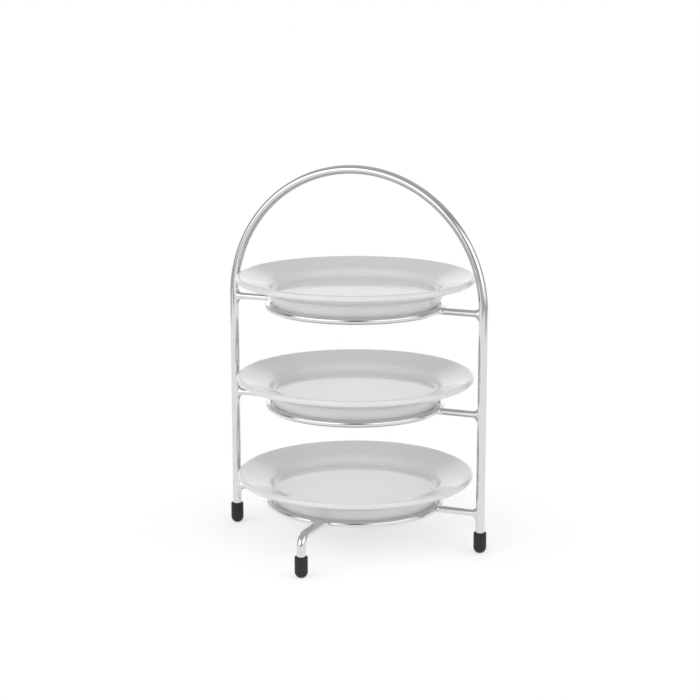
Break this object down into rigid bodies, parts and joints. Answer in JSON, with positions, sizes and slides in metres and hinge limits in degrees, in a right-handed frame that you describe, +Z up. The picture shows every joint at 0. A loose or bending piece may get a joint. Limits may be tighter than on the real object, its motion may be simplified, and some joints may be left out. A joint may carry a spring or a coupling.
{
  "type": "plate serving stand",
  "caption": "Tiered serving stand: one bent chromed rod is the carrying handle and both uprights, wire rings hold loose white plates, and rubber caps cover the feet.",
  "frame": {"origin": "on the floor, under the middle of the stand, on the axis of the rings and plates", "axes": "+Z up, X from the left upright to the right upright, -Y towards the front leg"},
  "size_m": [0.1886, 0.1916, 0.2559],
  "materials": {
    "chrome": "bright chrome plate on steel rod and wire",
    "porcelain": "clear gloss glaze on white porcelain",
    "rubber": "matt moulded rubber"
  },
  "bodies": {
    "stand": {"arch_frame": "chrome", "bottom_ring": "chrome", "middle_ring": "chrome", "top_ring": "chrome", "right_bottom_arm": "chrome", "left_bottom_arm": "chrome", "right_middle_arm": "chrome", "left_middle_arm": "chrome", "right_top_arm": "chrome", "left_top_arm": "chrome", "front_leg": "chrome", "back_leg": "chrome", "left_foot": "rubber", "right_foot": "rubber", "front_foot": "rubber", "back_foot": "rubber"},
    "bottom_plate": {"bottom_plate": "porcelain"},
    "middle_plate": {"middle_plate": "porcelain"},
    "top_plate": {"top_plate": "porcelain"}
  },
  "joints": [
    {"name": "bottom_plate_lift", "type": "slide", "parent": "stand", "child": "bottom_plate", "axis": [0, 0, 1], "range_m": [0, 0.0445]},
    {"name": "middle_plate_lift", "type": "slide", "parent": "stand", "child": "middle_plate", "axis": [0, 0, 1], "range_m": [0, 0.0445]},
    {"name": "top_plate_lift", "type": "slide", "parent": "stand", "child": "top_plate", "axis": [0, 0, 1], "range_m": [0, 0.0145]}
  ]
}
